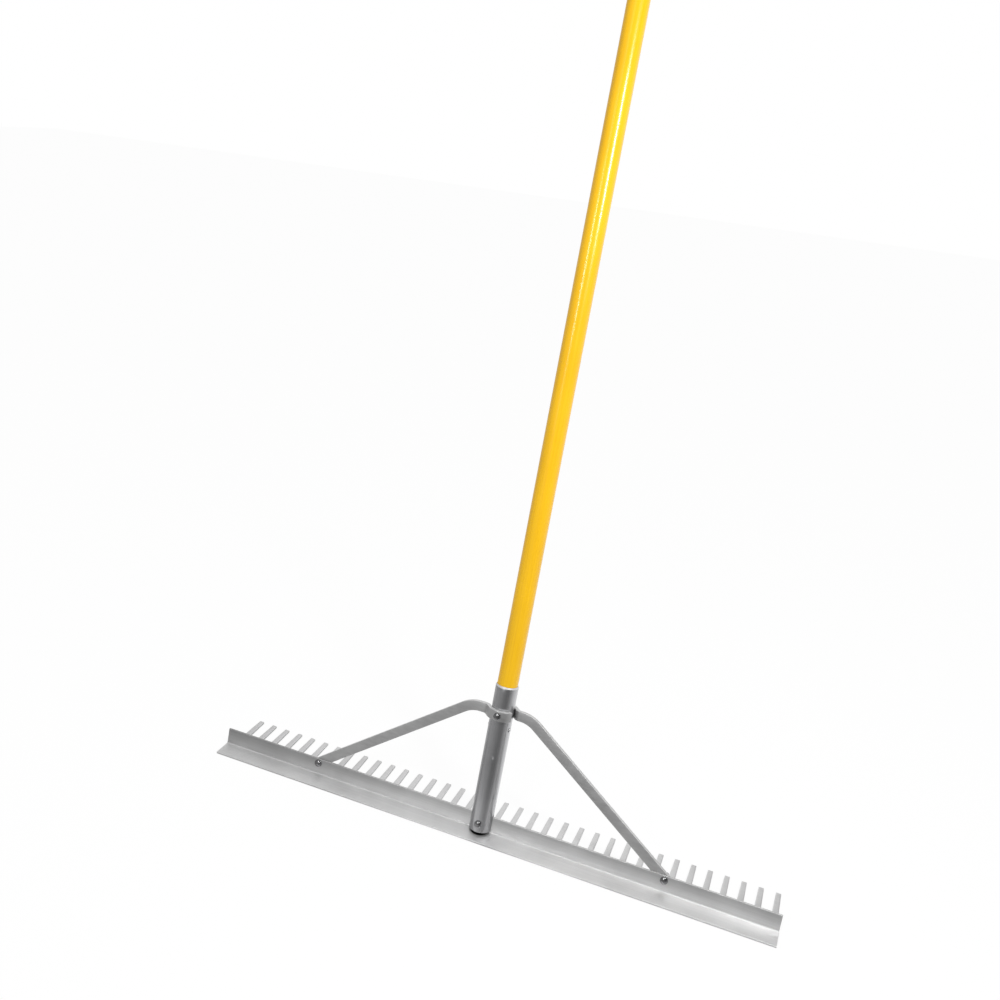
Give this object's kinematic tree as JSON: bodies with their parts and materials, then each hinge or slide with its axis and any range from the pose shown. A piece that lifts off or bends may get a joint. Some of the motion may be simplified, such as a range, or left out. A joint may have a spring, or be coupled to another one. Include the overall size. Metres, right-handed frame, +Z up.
{
  "type": "landscape rake",
  "caption": "Wide flat aluminium rake head with a smooth back blade, a tube socket, two bent strap braces and a long yellow glass-fibre handle.",
  "frame": {"origin": "on the sole, directly under the crease between blade and flange, on the handle's centre line", "axes": "+X along the head, to the right as the picture sees it; +Y from the blade side to the teeth side, the way the handle leans; +Z up, square to the sole"},
  "size_m": [0.9144, 0.4173, 1.6779],
  "materials": {
    "aluminium_extrusion": "mill finish extrusion, satin, with fine lines along its length",
    "aluminium_tube": "drawn tube, satin, with fine lines along its length",
    "aluminium_bar": "mill finish flat bar, satin grey",
    "yellow_glass_fibre": "smooth pigmented resin over glass fibre, semi-gloss",
    "bright_steel": "bright plated steel",
    "rivet_aluminium": "satin",
    "plug_wood": "plain turned wood",
    "cap_plastic": "soft black vinyl"
  },
  "bodies": {
    "root": {"rake_head": "aluminium_extrusion", "socket_tube": "aluminium_tube", "handle": "yellow_glass_fibre", "handle_core_plug": "plug_wood", "handle_end_cap": "cap_plastic", "brace_left": "aluminium_bar", "brace_right": "aluminium_bar", "brace_bolt_left": "bright_steel", "brace_washer_left": "bright_steel", "brace_nut_left": "bright_steel", "brace_bolt_right": "bright_steel", "brace_washer_right": "bright_steel", "brace_nut_right": "bright_steel", "collar_bolt": "bright_steel", "collar_washer": "bright_steel", "collar_nut": "bright_steel", "foot_bolt": "bright_steel", "foot_washer": "bright_steel", "foot_nut": "bright_steel", "cross_rivet": "rivet_aluminium"}
  },
  "joints": []
}
